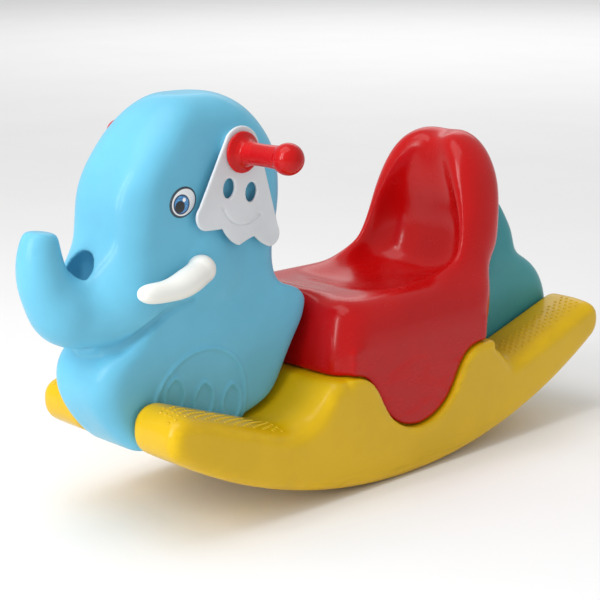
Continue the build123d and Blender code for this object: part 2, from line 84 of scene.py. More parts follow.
# %% [markdown]
# ## Mouldings as fields of distances
# A blow-moulded shell has no sharp corner anywhere, because the plastic is blown against a mould.
# Bevels on CAD triangles would break where many edges meet. So each CAD node is turned into a grid
# that holds, at every place, the distance to its surface: below zero is inside. On such a field a
# blur rounds every edge, a smooth minimum welds two shapes as soft plastic would, and adding a
# small number raises or sinks a relief. OpenVDB makes the field and turns it back into quads.

# %% A solid that can be softened, welded and carved
SKIN_CELLS, FIELD_REACH, MARGIN_CELLS = 3, 9, 3
ROUNDNESS_CELLS = 2


class Solid:
    """A shape as distances on a grid, in millimetres about the resting line."""

    def __init__(self, node, step, reach=FIELD_REACH):
        triangles = np.empty(len(nodes[node].data.polygons) * 3, np.int32)
        nodes[node].data.polygons.foreach_get("vertices", triangles)
        corners, merged = np.unique(np.round(node_points(node) * 1e6), axis=0, return_inverse=True)
        corners = (corners / 1e3 - (0, rest_y / MM, 0)).astype(np.float32)
        faces = merged.ravel()[triangles].reshape(-1, 3).astype(np.uint32)
        self.step = step
        self.grid_lines = vdb.createLinearTransform(voxelSize=step)
        skin = vdb.FloatGrid.createLevelSetFromPolygons(
            corners, triangles=faces, transform=self.grid_lines, halfWidth=SKIN_CELLS
        )
        outer_points, outer_quads = skin.convertToQuads(0.0)
        filled = vdb.FloatGrid.createLevelSetFromPolygons(
            outer_points, quads=outer_quads, transform=self.grid_lines, halfWidth=reach
        )
        first, last = filled.evalActiveVoxelBoundingBox()
        self.first = np.array(first) - MARGIN_CELLS
        size = np.array(last) + 1 + MARGIN_CELLS - self.first
        self.values = np.empty(tuple(size), np.float32)
        filled.copyToArray(self.values, ijk=tuple(int(i) for i in self.first))
        lines = [(self.first[a] + np.arange(size[a])) * step for a in range(3)]
        self.x = lines[0][:, None, None].astype(np.float32)
        self.y = lines[1][None, :, None].astype(np.float32)
        self.z = lines[2][None, None, :].astype(np.float32)

    def soften(self, radius, rounds=2):
        """Rounds every edge: a box blur, run a few times along each axis."""
        self.values = blurred(self.values, max(1, round(radius / self.step)), rounds)

    def weld(self, other, blend):
        """Joins another shape on, with a fillet about as wide as blend."""
        self.values = smooth_min(self.values, other, blend)

    def carve(self, other, blend):
        """Takes another shape away, with rounded rims."""
        self.values = -smooth_min(-self.values, other, blend)

    def raise_by(self, height):
        """Moves the surface outwards by a height that may vary from place to place."""
        self.values = self.values - height

    def mesh(self, name):
        """Quads on the surface, with the roundness of each place stored as an attribute."""
        field = vdb.FloatGrid(float(self.values.max()))
        field.copyFromArray(self.values, ijk=tuple(int(i) for i in self.first))
        field.transform = self.grid_lines
        points, quads = field.convertToQuads(0.0)
        bulge = blurred(self.values, ROUNDNESS_CELLS, 2) - self.values
        roundness = sample(bulge, points / self.step - self.first)
        places = (points + (0, rest_y / MM, 0)) * MM
        mesh = bpy.data.meshes.new(name)
        mesh.from_pydata(places.tolist(), [], quads[:, ::-1].tolist())
        mesh.attributes.new("roundness", "FLOAT", "POINT").data.foreach_set(
            "value", np.clip(roundness / self.step, -1, 1).astype(np.float32)
        )
        return finished_object(mesh, name)


def blurred(values, cells, rounds):
    """Box blur along each axis in turn, by differences of running sums."""
    for axis in range(3):
        for _ in range(rounds):
            pads = [(cells + 1, cells) if a == axis else (0, 0) for a in range(3)]
            total = np.cumsum(np.pad(values, pads, mode="edge"), axis=axis, dtype=np.float64)
            count = values.shape[axis]
            high = np.take(total, range(2 * cells + 1, 2 * cells + 1 + count), axis=axis)
            low = np.take(total, range(0, count), axis=axis)
            values = ((high - low) / (2 * cells + 1)).astype(np.float32)
    return values


def smooth_min(a, b, blend):
    """The smaller of two distances, with the corner between them filled."""
    if blend <= 0:
        return np.minimum(a, b)
    closeness = np.clip(blend - np.abs(a - b), 0, None) / blend
    return np.minimum(a, b) - closeness**2 * blend / 4


def sample(values, places):
    """Field value at places between the grid's points, by linear interpolation."""
    corner = np.clip(places.astype(int), 0, np.array(values.shape) - 2)
    share = places - corner
    total = np.zeros(len(places))
    for dx in (0, 1):
        for dy in (0, 1):
            for dz in (0, 1):
                weight = np.abs(1 - dx - share[:, 0]) * np.abs(1 - dy - share[:, 1])
                weight = weight * np.abs(1 - dz - share[:, 2])
                total += weight * values[corner[:, 0] + dx, corner[:, 1] + dy, corner[:, 2] + dz]
    return total


def smooth_step(value, low, high):
    share = np.clip((value - low) / (high - low), 0, 1)
    return share * share * (3 - 2 * share)


def finished_object(mesh, name):
    """Puts a mesh in the scene with smooth faces that point outwards."""
    work = bmesh.new()
    work.from_mesh(mesh)
    if work.calc_volume(signed=True) < 0:
        bmesh.ops.reverse_faces(work, faces=work.faces)
    for face in work.faces:
        face.smooth = True
    work.to_mesh(mesh)
    work.free()
    piece = bpy.data.objects.new(name, mesh)
    bpy.context.scene.collection.objects.link(piece)
    return piece


def dress(piece, body, slot, material, *cad_nodes):
    """Gives a finished piece its body and its material, in place of CAD nodes. The slot is not used."""
    piece.data.materials.clear()
    piece.data.materials.append(material)
    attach(piece, body)
    if cad_nodes:
        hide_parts(*cad_nodes)
    print(piece.name, "faces:", len(piece.data.polygons))


print("solids can be softened, welded and carved")

# %% [markdown]
# Shapes that are welded on or carved out are written as formulas for the distance to them.

# %% Distances to simple shapes
def ellipsoid(solid, centre, radii):
    lines = (np.abs(solid.x), solid.y, solid.z)
    parts = [(line - c) / r for line, c, r in zip(lines, centre, radii)]
    return (np.sqrt(parts[0] ** 2 + parts[1] ** 2 + parts[2] ** 2) - 1) * min(radii)


def round_path(solid, stations):
    """Distance to bending round bars, one on each side: stations are (x, y, z, radius)."""
    x = np.abs(solid.x)
    nearest = None
    for start, end in zip(stations, stations[1:]):
        a, b = np.array(start[:3], float), np.array(end[:3], float)
        along = b - a
        share = (x - a[0]) * along[0] + (solid.y - a[1]) * along[1] + (solid.z - a[2]) * along[2]
        share = np.clip(share / along.dot(along), 0, 1)
        gap = (x - a[0] - share * along[0]) ** 2
        gap = gap + (solid.y - a[1] - share * along[1]) ** 2 + (solid.z - a[2] - share * along[2]) ** 2
        distance = np.sqrt(gap) - (start[3] + share * (end[3] - start[3]))
        nearest = distance if nearest is None else np.minimum(nearest, distance)
    return nearest


def cross_cylinder(solid, y, z, radius, low_x, high_x):
    """Distance to a pair of round discs on both sides, with their axis along X."""
    ring = np.sqrt((solid.y - y) ** 2 + (solid.z - z) ** 2) - radius
    ends = np.maximum(low_x - np.abs(solid.x), np.abs(solid.x) - high_x)
    return np.maximum(ring, ends)


print("field tools ready")

# %% [markdown]
# ## Writing materials as sums
# A shader is a sum of small effects. The class below wraps the output of a node, so that colours
# and roughness can be written as ordinary arithmetic, and every operation adds its Math node.

# %% A wire that does arithmetic
class Wire:
    """The output of a shader node, with arithmetic."""

    def __init__(self, tree, socket):
        self.tree = tree
        self.socket = socket

    def maths(self, operation, *values):
        node = self.tree.nodes.new("ShaderNodeMath")
        node.operation = operation
        for entry, value in zip(node.inputs, values):
            plug(self.tree, entry, value)
        return Wire(self.tree, node.outputs[0])

    def __add__(self, other):
        return self.maths("ADD", self, other)

    def __radd__(self, other):
        return self.maths("ADD", other, self)

    def __sub__(self, other):
        return self.maths("SUBTRACT", self, other)

    def __rsub__(self, other):
        return self.maths("SUBTRACT", other, self)

    def __mul__(self, other):
        return self.maths("MULTIPLY", self, other)

    def __rmul__(self, other):
        return self.maths("MULTIPLY", other, self)

    def above(self, low, high):
        """0 below low, 1 above high, smooth between."""
        node = self.tree.nodes.new("ShaderNodeMapRange")
        node.interpolation_type = "SMOOTHSTEP"
        for name, value in (("Value", self), ("From Min", low), ("From Max", high)):
            plug(self.tree, node.inputs[name], value)
        return Wire(self.tree, node.outputs["Result"])


def plug(tree, entry, value):
    if isinstance(value, Wire):
        tree.links.new(value.socket, entry)
    else:
        entry.default_value = value


class Finish:
    """A material under construction."""

    def __init__(self, name):
        self.material = bpy.data.materials.new(name)
        self.material.use_nodes = True
        self.tree = self.material.node_tree
        self.shader = self.tree.nodes["Principled BSDF"]

    def node(self, kind, settings=None, inputs=None, output=0):
        """Any node: its settings are set first, then its sockets are filled or linked."""
        made = self.tree.nodes.new(kind)
        for name, value in (settings or {}).items():
            setattr(made, name, value)
        for name, value in (inputs or {}).items():
            plug(self.tree, made.inputs[name], value)
        return Wire(self.tree, made.outputs[output])

    def place(self, scale=(1, 1, 1)):
        """Object coordinates, stretched if asked."""
        where = self.node("ShaderNodeTexCoord", output="Object")
        return self.node("ShaderNodeMapping", inputs={"Vector": where, "Scale": scale})

    def noise(self, size, detail=2.0, scale=(1, 1, 1), roughness=0.5):
        """Noise whose features are about size metres across, 0.5 on average."""
        inputs = {"Vector": self.place(scale), "Scale": 1 / size, "Detail": detail, "Roughness": roughness}
        return self.node("ShaderNodeTexNoise", inputs=inputs)

    def mix(self, share, first, second):
        """Mix of two colours."""
        made = self.tree.nodes.new("ShaderNodeMix")
        made.data_type = "RGBA"
        plug(self.tree, made.inputs["Factor"], share)
        plug(self.tree, made.inputs[6], first)
        plug(self.tree, made.inputs[7], second)
        return Wire(self.tree, made.outputs[2])

    def set(self, **sockets):
        for name, value in sockets.items():
            plug(self.tree, self.shader.inputs[name.replace("_", " ")], value)

    def bump(self, height, strength, distance):
        inputs = {"Height": height, "Strength": strength, "Distance": distance}
        self.set(Normal=self.node("ShaderNodeBump", inputs=inputs))


print("material tools ready")

# %% [markdown]
# ## The moulded plastics
# Coloured polyethylene is the same colour all through, a little glossy and faintly uneven. The
# mould leaves a fine grain, and large faces ripple slightly as they cool. Use rubs the raised
# edges paler and rougher. The creases get painted shade, a darker colour, with some dust that
# roughens them. The roundness that each mesh carries says where edges and creases are, so wear and painted
# shade follow it.

# %% One recipe for every coloured plastic
def colour(red, green, blue):
    """A screen colour, 0 to 255, as the linear values that a shader needs."""
    linear = [((c / 255 + 0.055) / 1.055) ** 2.4 if c > 10 else c / 255 / 12.92 for c in (red, green, blue)]
    return (*linear, 1.0)


def scaled(rgba, share):
    return (*[min(1.0, c * share) for c in rgba[:3]], 1.0)


GRAIN, PATCHES, RIPPLES, SMEARS = 0.0016, 0.09, 0.035, 0.02


def moulded_plastic(name, rgba, gloss=0.3, grain=0.25, coat=0.25, worn=0.5, painted_shade_and_dust=0.5, scuff_height=None):
    finish = Finish(name)
    patches = finish.noise(PATCHES, detail=3.0)
    flecks = finish.noise(GRAIN, detail=2.0)
    ripple = finish.noise(RIPPLES, detail=1.0)
    smear = finish.noise(SMEARS, detail=4.0, scale=(1, 0.35, 1), roughness=0.65)
    roundness = finish.node("ShaderNodeAttribute", {"attribute_name": "roundness"}, output="Fac")
    edge = roundness.above(0.1, 0.6) * smear.above(0.42, 0.62) * worn
    # painted shade: creases are darkened as if shadowed, with some dust that also roughens them
    crease_dust_and_shade = (0 - roundness).above(0.1, 0.7) * painted_shade_and_dust

    tone = finish.mix(patches.above(0.3, 0.7), scaled(rgba, 0.95), scaled(rgba, 1.05))
    tone = finish.mix(edge * 0.35, tone, scaled(rgba, 1.5))
    # painted shade in the creases, down to 0.62 of the colour
    tone = finish.mix(crease_dust_and_shade, tone, scaled(rgba, 0.62))
    rough = gloss + smear.above(0.45, 0.8) * 0.12 + edge * 0.2 + crease_dust_and_shade * 0.15
    if scuff_height is not None:
        height = finish.node("ShaderNodeSeparateXYZ", inputs={"Vector": finish.place()}, output="Z")
        scratches = finish.noise(0.004, detail=5.0, scale=(1, 0.06, 1), roughness=0.7)
        scuffs = (1 - height.above(0.0, scuff_height)) * scratches.above(0.5, 0.62)
        tone = finish.mix(scuffs * 0.3, tone, scaled(rgba, 0.6))
        rough = rough + scuffs * 0.3
    finish.set(Base_Color=tone, Roughness=rough, Coat_Weight=coat * (1 - edge))
    finish.shader.inputs["Specular IOR Level"].default_value = 0.18
    finish.shader.inputs["Coat Roughness"].default_value = 0.12
    finish.shader.inputs["IOR"].default_value = 1.5
    finish.bump(flecks * grain + ripple * 3.0, 0.35, 0.00045)
    return finish.material


yellow = moulded_plastic("yellow_plastic", colour(218, 176, 8), gloss=0.3, scuff_height=0.05)
blue = moulded_plastic("blue_plastic", colour(106, 186, 216), gloss=0.36, coat=0.12)
teal = moulded_plastic("teal_plastic", colour(66, 150, 158), gloss=0.38, coat=0.12)
red = moulded_plastic("red_plastic", colour(188, 6, 8), gloss=0.22, grain=0.08, coat=0.2)
# the white ears get the strongest painted crease shade, so the engraved smile reads dark
white = moulded_plastic("white_plastic", colour(214, 218, 222), gloss=0.38, grain=0.15, worn=0.3, painted_shade_and_dust=1.0)
ivory = moulded_plastic("ivory_plastic", colour(236, 236, 230), gloss=0.4, grain=0.15, worn=0.2)
print("plastics:", yellow.name, blue.name, teal.name, red.name, white.name, ivory.name)

# %% [markdown]
# Metals are told apart by how they were made. The tube is drawn, so its streaks run along X. The
# screws are zinc plated, with cloudy patches, and the brass inserts are turned.

# %% Steel, zinc and brass
def metal(name, rgba, rough, streak):
    """Bare or plated metal: its streaks run along the axis that streak squeezes."""
    finish = Finish(name)
    streaks = finish.noise(0.0025, detail=4.0, scale=streak)
    clouds = finish.noise(0.012, detail=3.0)
    stain = clouds.above(0.5, 0.75)
    finish.set(Base_Color=finish.mix(stain * 0.5, rgba, scaled(rgba, 0.72)), Metallic=1.0)
    finish.set(Roughness=rough + streaks.above(0.35, 0.65) * 0.12 + stain * 0.15)
    finish.bump(streaks, 0.25, 0.0002)
    return finish.material


steel = metal("bar_steel", colour(188, 190, 192), 0.22, (0.08, 1, 1))
zinc = metal("screw_steel", colour(196, 198, 196), 0.3, (1, 1, 1))
brass = metal("brass", colour(206, 168, 92), 0.28, (1, 0.3, 1))
print("metals:", steel.name, zinc.name, brass.name)

# %% [markdown]
# The eye is a printed oval. Its rings are written as distances from points in the side view, so
# the print stays sharp at any zoom.

# %% Printed eye
EYE_CENTRE = (-315, 388)
EYE_HALF = (20.5, 17.5)
EYE_LEAN = math.radians(24)
IRIS = (-318.5, 386, 11.5)
IRIS_INNER = (*IRIS[:2], IRIS[2] - 1.6)
PUPIL = (-321, 383.5, 6.8)
GLINT = (-315, 391, 2.4)
PRINT_EDGE = 0.4
OUTLINE = (0.82, 0.86)
BLACK, WHITE = colour(10, 12, 16), colour(250, 252, 252)


def printed_eye():
    """White, iris, pupil and glint as discs, and a dark line round the oval."""
    finish = Finish("eye_print")
    across = finish.node("ShaderNodeSeparateXYZ", inputs={"Vector": finish.place()}, output="Y")
    up = finish.node("ShaderNodeSeparateXYZ", inputs={"Vector": finish.place()}, output="Z")
    y = (across - rest_y) * (1 / MM)
    z = up * (1 / MM)

    def reach(centre_y, centre_z, stretch_y=1.0, stretch_z=1.0, lean=0.0):
        dy, dz = y - centre_y, z - centre_z
        along = dy * math.cos(lean) + dz * math.sin(lean)
        aside = dz * math.cos(lean) - dy * math.sin(lean)
        along, aside = along * (1 / stretch_y), aside * (1 / stretch_z)
        square = along * along + aside * aside
        return square.maths("SQRT", square)

    oval = reach(*EYE_CENTRE, *EYE_HALF, EYE_LEAN)
    fibres = finish.noise(0.002, detail=3.0).above(0.35, 0.7)
    print_grain = finish.noise(0.0006, detail=1.0)
    iris_blue = finish.mix(fibres, colour(40, 110, 180), colour(96, 176, 226))
    tone = finish.mix(print_grain, colour(226, 232, 236), colour(244, 247, 248))
    iris_rim = colour(20, 50, 84)
    discs = ((IRIS, iris_rim), (IRIS_INNER, iris_blue), (PUPIL, BLACK), (GLINT, WHITE))
    for (y_centre, z_centre, radius), ink in discs:
        disc = reach(y_centre, z_centre).above(radius + PRINT_EDGE, radius - PRINT_EDGE)
        tone = finish.mix(disc, tone, ink)
    tone = finish.mix(oval.above(*OUTLINE), tone, colour(44, 60, 70))
    finish.set(Base_Color=tone, Roughness=0.2 + print_grain * 0.12, Coat_Weight=0.4)
    return finish.material


eye_print = printed_eye()
print("printed:", eye_print.name)

# %% [markdown]
# ## Rocker base
# The base is one moulding: two curved runners joined by a low deck, with a hump that carries the
# seat. The tops of the runners fall away towards the outside, so that shoes and rain slide off.
# Warping the field downwards by a share that grows towards the outside makes that crown, which
# bevels could not.

# %% Rocker base
BASE_STEP = 3.0
ROCK_RADIUS = 733.0
RUNNER_SIDE = 128
PLATFORM = 150
PLATFORM_MIDDLE = 30
LOBE = (24, 141, 78)
LOBE_FILLET = 50
LOBE_BACK = 113.5
LOBE_GAP, LOBE_REACH = 1.0, 130
POCKET_INSIDE, POCKET_LOW, POCKET_REACH = 100, 60, 139
CROWN_START, CROWN_DROP, CROWN_HEIGHT = 84, 12, 70
FLAT_EDGE, FLAT_BLEND = 150, 35
UNDERSIDE_BAND = 15
BASE_SOFTNESS = 4.0


def crown_runners(solid):
    """Lets the runners' tops fall away outwards, while underside and platform stay."""
    underside = ROCK_RADIUS - np.sqrt(ROCK_RADIUS**2 - solid.y**2)
    share = np.clip((np.abs(solid.x) - CROWN_START) / (RUNNER_SIDE - CROWN_START), 0, None) ** 2
    share = share * smooth_step(np.abs(solid.y - PLATFORM_MIDDLE), FLAT_EDGE, FLAT_EDGE + FLAT_BLEND)
    height = smooth_step(solid.z - underside, UNDERSIDE_BAND, UNDERSIDE_BAND + CROWN_HEIGHT)
    shift = CROWN_DROP * share * height
    position = np.arange(solid.values.shape[2])[None, None, :] + shift / solid.step
    lower = np.clip(position.astype(int), 0, solid.values.shape[2] - 2)
    part = position - lower
    below = np.take_along_axis(solid.values, lower, axis=2)
    above = np.take_along_axis(solid.values, lower + 1, axis=2)
    solid.values = (below * (1 - part) + above * part).astype(np.float32)


def lobe_outline(solid):
    """Side view of the seat's skirt: a disc that flows into the platform's edge."""
    disc = np.hypot(solid.y - LOBE[0], solid.z - LOBE[1]) - LOBE[2]
    return smooth_min(disc, PLATFORM - solid.z, LOBE_FILLET)


def pocket_fill(solid):
    """Block that closes the CAD's stepped pocket, so that a flowing one can be cut."""
    inside = np.maximum(POCKET_INSIDE - np.abs(solid.x), np.abs(solid.x) - RUNNER_SIDE)
    inside = np.maximum(inside, np.abs(solid.y - PLATFORM_MIDDLE - 2) - POCKET_REACH)
    middle, half = (PLATFORM + POCKET_LOW) / 2, (PLATFORM - POCKET_LOW) / 2
    return np.maximum(inside, np.abs(solid.z - middle) - half)


base = Solid("rocker_base", BASE_STEP)
base.weld(pocket_fill(base), 0)
crown_runners(base)
base.soften(BASE_SOFTNESS)
pocket = np.maximum(lobe_outline(base) - LOBE_GAP, LOBE_BACK - np.abs(base.x))
base.carve(np.maximum(pocket, np.abs(base.y - PLATFORM_MIDDLE) - LOBE_REACH), 2)
base_piece = base.mesh("rocker_base_shell")
dress(base_piece, chassis, "yellow_plastic", yellow, "rocker_base")

# %% [markdown]
# ## Head, chest and trunk
# The blue moulding carries the most shape. The trunk grows out of the whole width of the face, the
# jaw rolls over the chest with a deep crease, and a small dark hollow lies between the trunk and
# the brow. A foot with three nails stands out of each side. Its outline is a circle, and the nails
# are ovals, so the reliefs are sums of smooth steps on the side view's coordinates.

# %% Head, chest and trunk
HEAD_STEP = 2.2
FOOT = (-284, 139, 71)
NAILS = ((-324.5, 158), (-279, 144), (-235, 132))
NAIL_HALF_WIDTH, NAIL_HEIGHT = 15, 25
RIDGE_HEIGHT, RIDGE_WIDTH = 2.4, 2.6
HEAD_SOFTNESS = 3.6
FACE = ((0, -372, 284), (66, 56, 66))
TRUNK_ROOT = [(0, -372, 285, 50), (0, -405, 268, 44), (0, -436, 273, 37)]
CHEEK = ((54, -266, 303), (13, 44, 40))
NOOK = ((0, -411, 307), (25, 25, 30))
BOSS_RADIUS, BOSS_INNER, BOSS_FACE = 22, 40, 64
JAW = [(0, -432, 226, 7), (30, -422, 226, 7), (45, -399, 229, 7), (54, -381, 239, 7), (61, -363, 251, 7)]
JAW += [(63, -342, 262, 7), (63, -319, 270, 6), (63, -300, 272, 5)]


def foot_ridges(solid):
    """Height of the thin ridges that draw a foot and its nails, in millimetres."""
    on_side = smooth_step(np.abs(solid.x), 34, 44)
    lines = np.abs(np.hypot(solid.y - FOOT[0], solid.z - FOOT[1]) - FOOT[2])
    disc = (NAIL_HEIGHT**2 + NAIL_HALF_WIDTH**2) / (2 * NAIL_HALF_WIDTH)
    aside = disc - NAIL_HALF_WIDTH
    for y, z in NAILS:
        front = np.hypot(solid.y - y - aside, solid.z - z)
        rear = np.hypot(solid.y - y + aside, solid.z - z)
        lines = np.minimum(lines, np.abs(np.maximum(front, rear) - disc))
    return RIDGE_HEIGHT * np.exp(-((lines / RIDGE_WIDTH) ** 2)) * on_side


head = Solid("front_body", HEAD_STEP)
head.weld(ellipsoid(head, *FACE), 14)
head.weld(round_path(head, TRUNK_ROOT), 16)
head.soften(HEAD_SOFTNESS)
head.weld(cross_cylinder(head, pivot_y, pivot_z, BOSS_RADIUS, BOSS_INNER, BOSS_FACE), 3)
head.weld(ellipsoid(head, *CHEEK), 5)
head.carve(ellipsoid(head, *NOOK), 3)
head.carve(round_path(head, JAW), 3)
head.raise_by(foot_ridges(head))
head_piece = head.mesh("head_and_chest_shell")
dress(head_piece, chassis, "blue_plastic", blue, "front_body")

# %% [markdown]
# ## Rump
# The teal moulding behind the seat steps down twice towards the tail.

# %% Rump
RUMP_STEP, RUMP_SOFTNESS = 2.2, 5.0

rump = Solid("rear_body", RUMP_STEP)
rump.soften(RUMP_SOFTNESS)
rump_piece = rump.mesh("rump_shell")
dress(rump_piece, chassis, "teal_plastic", teal, "rear_body")

# %% [markdown]
# ## Seat
# The seat is the glossiest piece, with the widest radii. Its two side lobes are thin skirts, and a
# strong blur would eat them. So the block above the base is softened alone, continued downwards so
# that its lower edge stays crisp, and the lobes are welded on afterwards.

# %% Seat
SEAT_STEP = 2.5
SEAT_SIDE = 122
SEAT_SOFTNESS, RIM_SOFTNESS = 9.0, 2.5
BACK_FRONT, BACK_DEPTH, BACK_INSET = 170, 22, 8
BACK_TOP, BACK_BLEND = 345, 80
BACK_REAR, BACK_LOW, BACK_START = 212, 262, 140
LOBE_ENDS, LOBE_HIGH = 129, 35
SOLE = 5


def backrest_pad(solid):
    """Fills the upper hollow of the backrest up to a gentle dish, inside its own outline."""
    rear_half = solid.values[:, round(BACK_START / solid.step) - solid.first[1] :, :]
    outline = rear_half.min(axis=1)[:, None, :] + BACK_INSET
    front = BACK_FRONT + BACK_DEPTH * smooth_step(BACK_TOP - solid.z, 0, BACK_BLEND)
    ends = np.maximum(solid.y - BACK_REAR, BACK_LOW - solid.z)
    return np.maximum(np.maximum(outline, front - solid.y), ends)


def lobes(solid):
    """The round skirts on both flanks."""
    thick = np.maximum(LOBE_BACK + 0.5 - np.abs(solid.x), np.abs(solid.x) - SEAT_SIDE)
    ends = np.abs(solid.y - PLATFORM_MIDDLE) - LOBE_ENDS
    ends = np.maximum(ends, solid.z - PLATFORM - LOBE_HIGH)
    return np.maximum(np.maximum(lobe_outline(solid), thick), ends)


seat = Solid("seat", SEAT_STEP)
sole = round((PLATFORM + SOLE) / SEAT_STEP) - seat.first[2]
seat.values[:, :, :sole] = seat.values[:, :, sole : sole + 1]
seat.weld(backrest_pad(seat), 20)
seat.soften(SEAT_SOFTNESS, rounds=3)
seat.values = np.maximum(seat.values, PLATFORM + 0.5 - seat.z)
seat.weld(lobes(seat), 0)
seat.soften(RIM_SOFTNESS)
seat_piece = seat.mesh("seat_shell")
dress(seat_piece, chassis, "red_plastic", red, "seat")

# %% [markdown]
# ## Tusks, ears, grips and eyes
# The small pieces use the same field at a finer step. The ear plates ride the bodies that swing,
# and everything else rides the rocker.

# %% Tusks, ears and grips
def small_piece(node, step, radius, body, slot, material, fuller=0.0):
    """Rounds the outer edges only: where the blur would fill a groove, the groove stays."""
    solid = Solid(node, step, reach=6)
    sharp = solid.values
    solid.soften(radius)
    solid.values = np.maximum(solid.values, 3 * sharp - 2 * solid.values)
    solid.raise_by(fuller)
    dress(solid.mesh(node + "_finished"), body, slot, material, node)


for side in ("left", "right"):
    small_piece(side + "_tusk", 1.2, 1.2, chassis, "ivory_plastic", ivory, fuller=3.2)
    small_piece(side + "_ear", 0.8, 0.8, side + "_ear_plate", "white_plastic", white)
    small_piece(side + "_grip", 1.0, 1.0, chassis, "red_plastic", red)

# %% Domed eyes
EYE_RINGS, EYE_SEGMENTS = 10, 64
EYE_RIM_X, EYE_DOME = 61.6, 2.6


def eye_piece(side, sign):
    """A shallow dome over an oval, with a rim that sinks into the head."""
    places = [(EYE_RIM_X + EYE_DOME, 0.0, 0.0)]
    for ring in range(1, EYE_RINGS + 1):
        share = ring / EYE_RINGS
        for step in range(EYE_SEGMENTS):
            turn = 2 * math.pi * step / EYE_SEGMENTS
            rise = EYE_DOME * math.sqrt(max(0.0, 1 - share**2))
            places.append((EYE_RIM_X + rise, share * math.cos(turn), share * math.sin(turn)))
    corners = []
    for x, along, aside in places:
        dy = along * EYE_HALF[0] * math.cos(EYE_LEAN) - aside * EYE_HALF[1] * math.sin(EYE_LEAN)
        dz = along * EYE_HALF[0] * math.sin(EYE_LEAN) + aside * EYE_HALF[1] * math.cos(EYE_LEAN)
        corners.append((sign * x * MM, (EYE_CENTRE[0] + dy) * MM + rest_y, (EYE_CENTRE[1] + dz) * MM))
    faces = []
    for step in range(EYE_SEGMENTS):
        after = (step + 1) % EYE_SEGMENTS
        faces.append((0, 1 + step, 1 + after))
        for ring in range(EYE_RINGS - 1):
            inner, outer = 1 + ring * EYE_SEGMENTS, 1 + (ring + 1) * EYE_SEGMENTS
            faces.append((inner + step, outer + step, outer + after, inner + after))
    rim = 1 + (EYE_RINGS - 1) * EYE_SEGMENTS
    faces.append(tuple(rim + step for step in reversed(range(EYE_SEGMENTS))))
    mesh = bpy.data.meshes.new(side + "_eye_finished")
    mesh.from_pydata(corners, [], faces)
    piece = finished_object(mesh, side + "_eye_finished")
    piece.data.polygons[len(piece.data.polygons) - 1].use_smooth = False
    dress(piece, chassis, "eye_print", eye_print, side + "_eye")


eye_piece("left", 1)
eye_piece("right", -1)

# %% Materials of the plain CAD nodes
PLAIN = {"handle_bar": steel, "left_grip_insert": brass, "right_grip_insert": brass}
PLAIN.update({"left_ear_bush": white, "right_ear_bush": white})
PLAIN.update({name: zinc for name in ("seat_washers", "front_body_washers", "rear_body_washers")})
for name, material in PLAIN.items():
    nodes[name].data.materials.clear()
    nodes[name].data.materials.append(material)
print("plain nodes:", ", ".join(PLAIN))

# %% [markdown]
# ## Repeats with Geometry Nodes
# Screws and tread bumps are copies of one small mesh. The tree below puts a copy on each point of a
# mesh, tips it along the point's own "up" direction, turns it by a seeded random angle and makes it
# real. The result is stored as a plain mesh, so nothing live is left in the scene.

# %% The scattering tree
def scatter_tree():
    tree = bpy.data.node_groups.new("scatter_copies", "GeometryNodeTree")
    face = tree.interface
    face.new_socket("Geometry", in_out="INPUT", socket_type="NodeSocketGeometry")
    face.new_socket("Copy", in_out="INPUT", socket_type="NodeSocketObject")
    face.new_socket("Material", in_out="INPUT", socket_type="NodeSocketMaterial")
    face.new_socket("Largest Turn", in_out="INPUT", socket_type="NodeSocketFloat")
    face.new_socket("Seed", in_out="INPUT", socket_type="NodeSocketInt")
    face.new_socket("Geometry", in_out="OUTPUT", socket_type="NodeSocketGeometry")
    make = tree.nodes.new
    entry, leave = make("NodeGroupInput"), make("NodeGroupOutput")
    up = make("GeometryNodeInputNamedAttribute")
    up.data_type = "FLOAT_VECTOR"
    up.inputs["Name"].default_value = "up"
    tip = make("FunctionNodeAlignRotationToVector")
    tip.axis = "Z"
    turn = make("FunctionNodeRandomValue")
    turn.data_type = "FLOAT"
    about = make("FunctionNodeAxisAngleToRotation")
    about.inputs["Axis"].default_value = (0, 0, 1)
    combine = make("FunctionNodeRotateRotation")
    combine.rotation_space = "LOCAL"
    copy = make("GeometryNodeObjectInfo")
    place, real, paint = (make("GeometryNode" + kind) for kind in SCATTER_STEPS)
    random_high = [socket for socket in turn.inputs if socket.name == "Max" and socket.type == "VALUE"][0]
    random_value = [socket for socket in turn.outputs if socket.type == "VALUE"][0]
    link = tree.links.new
    link(entry.outputs["Copy"], copy.inputs["Object"])
    link(entry.outputs["Largest Turn"], random_high)
    link(entry.outputs["Seed"], turn.inputs["Seed"])
    link(up.outputs["Attribute"], tip.inputs["Vector"])
    link(random_value, about.inputs["Angle"])
    link(tip.outputs["Rotation"], combine.inputs["Rotation"])
    link(about.outputs["Rotation"], combine.inputs["Rotate By"])
    link(entry.outputs["Geometry"], place.inputs["Points"])
    link(copy.outputs["Geometry"], place.inputs["Instance"])
    link(combine.outputs["Rotation"], place.inputs["Rotation"])
    link(place.outputs["Instances"], real.inputs["Geometry"])
    link(real.outputs["Geometry"], paint.inputs["Geometry"])
    link(entry.outputs["Material"], paint.inputs["Material"])
    link(paint.outputs["Geometry"], leave.inputs["Geometry"])
    return tree


SCATTER_STEPS = ("InstanceOnPoints", "RealizeInstances", "SetMaterial")
scatter = scatter_tree()


